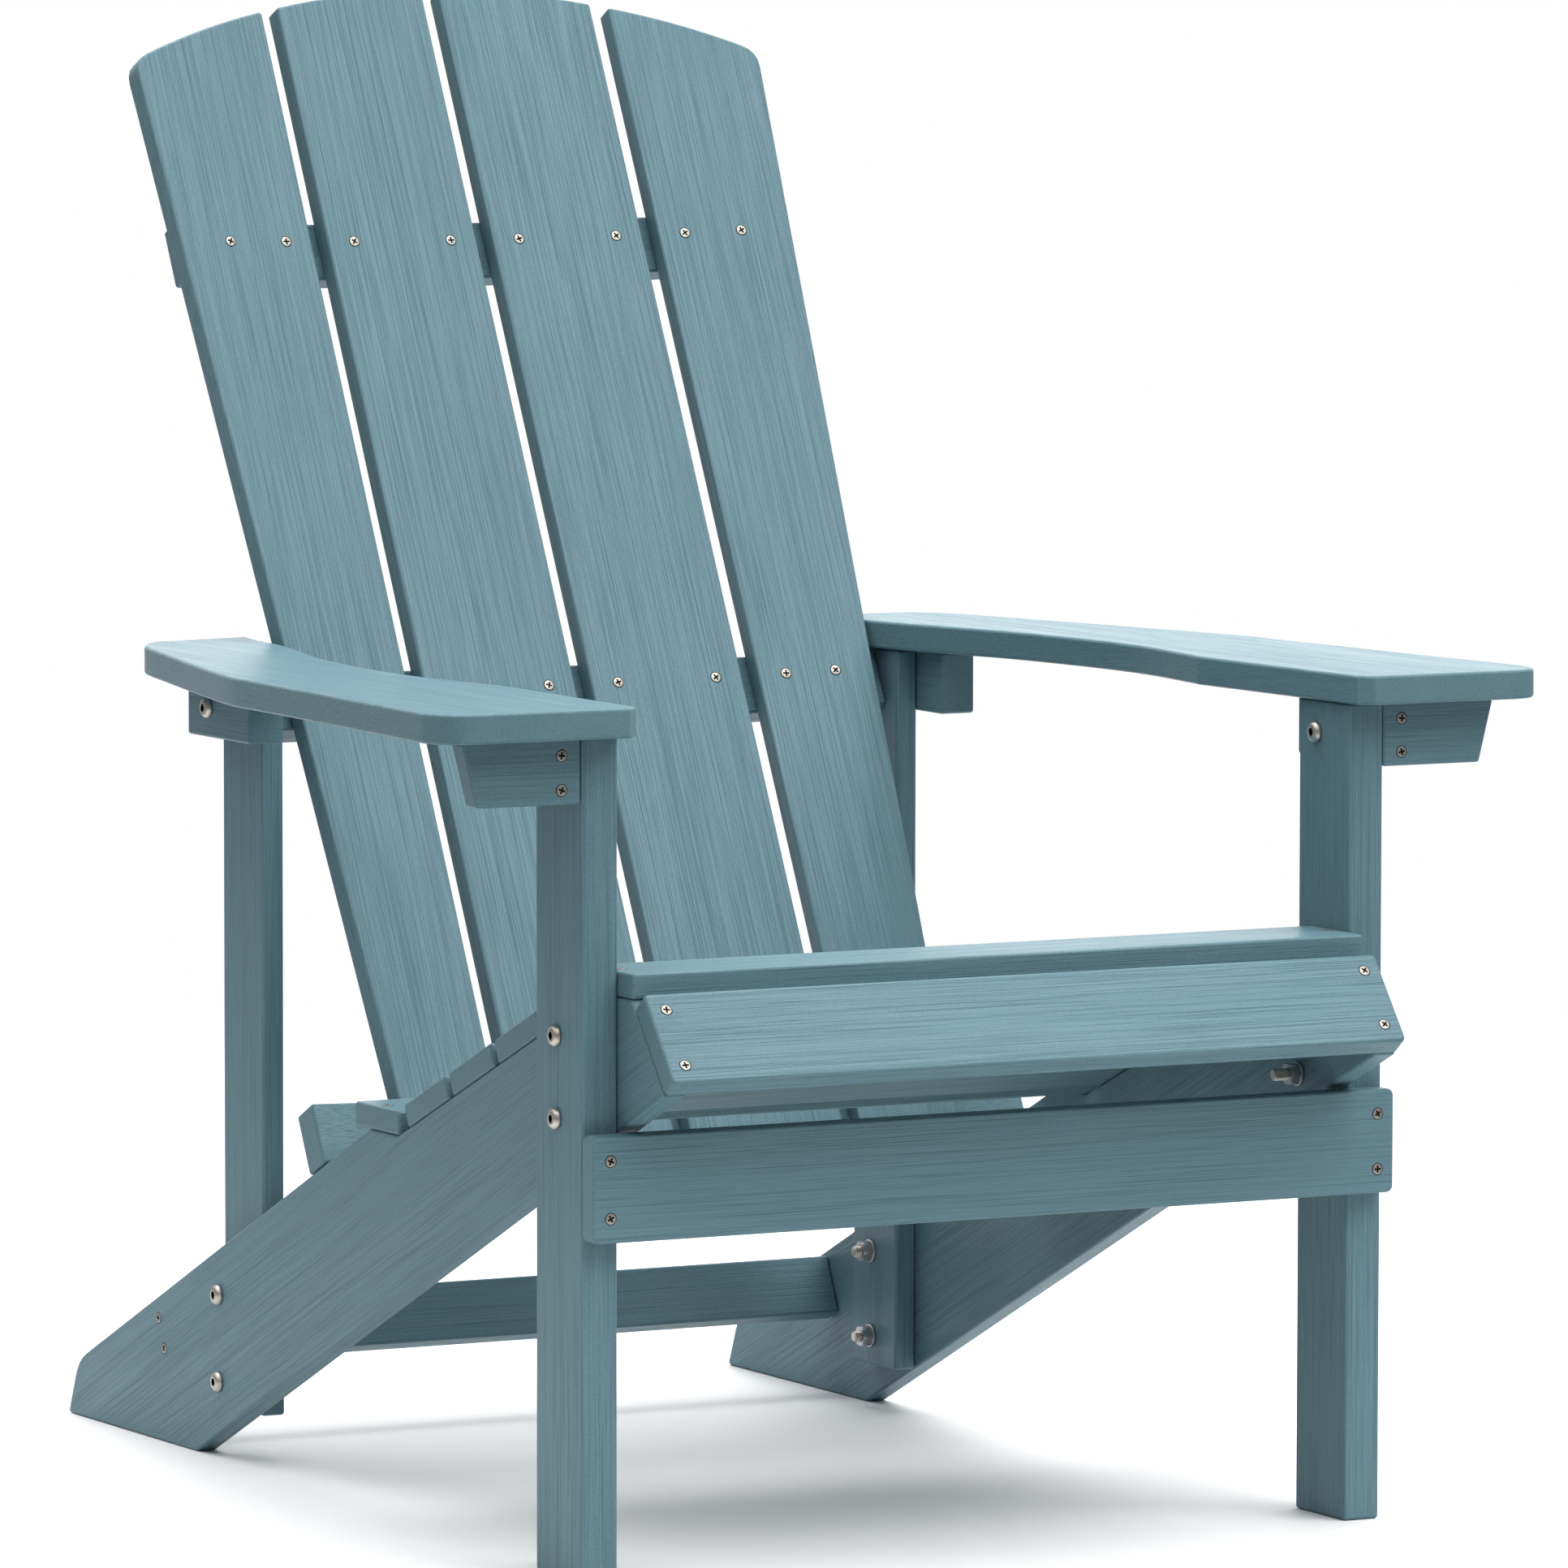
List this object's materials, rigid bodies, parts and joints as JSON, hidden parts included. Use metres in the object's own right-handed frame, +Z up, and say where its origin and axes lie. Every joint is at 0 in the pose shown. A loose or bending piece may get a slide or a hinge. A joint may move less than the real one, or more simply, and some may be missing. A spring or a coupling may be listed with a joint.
{
  "type": "adirondack chair",
  "caption": "Low garden armchair of bolted boards: sloping slatted seat, reclined fan-topped slat back, wide shaped arms on upright front legs, long side stringers reaching the floor behind.",
  "frame": {"origin": "on the floor under the centre of the chair's bounding box", "axes": "+Z up, the chair faces -Y, X across the width"},
  "size_m": [0.8, 0.9036, 0.9744],
  "materials": {
    "lumber": "brushed grain, satin",
    "steel": "stainless, satin"
  },
  "bodies": {
    "root": {"apron": "lumber", "arm_bracket_l": "lumber", "arm_bracket_r": "lumber", "arm_l": "lumber", "arm_r": "lumber", "back_slat_1": "lumber", "back_slat_2": "lumber", "back_slat_3": "lumber", "back_slat_4": "lumber", "bolt_front_block_l": "steel", "bolt_front_block_r": "steel", "bolt_leg_high_l": "steel", "bolt_leg_high_r": "steel", "bolt_leg_low_l": "steel", "bolt_leg_low_r": "steel", "bolt_post_high_l": "steel", "bolt_post_high_r": "steel", "bolt_post_low_l": "steel", "bolt_post_low_r": "steel", "bolt_rear_block_l": "steel", "bolt_rear_block_r": "steel", "fascia": "lumber", "front_arm_block_l": "lumber", "front_arm_block_r": "lumber", "front_leg_l": "lumber", "front_leg_r": "lumber", "lower_back_rail": "lumber", "mid_back_rail": "lumber", "nut_front_block_l": "steel", "nut_front_block_r": "steel", "nut_leg_high_l": "steel", "nut_leg_high_r": "steel", "nut_leg_low_l": "steel", "nut_leg_low_r": "steel", "nut_post_high_l": "steel", "nut_post_high_r": "steel", "nut_post_low_l": "steel", "nut_post_low_r": "steel", "rear_arm_block_l": "lumber", "rear_arm_block_r": "lumber", "rear_post_l": "lumber", "rear_post_r": "lumber", "rear_stretcher": "lumber", "seat_slat_1": "lumber", "seat_slat_2": "lumber", "seat_slat_3": "lumber", "seat_slat_4": "lumber", "seat_slat_5": "lumber", "seat_slat_6": "lumber", "stringer_l": "lumber", "stringer_r": "lumber", "upper_back_cleat": "lumber"}
  },
  "joints": []
}
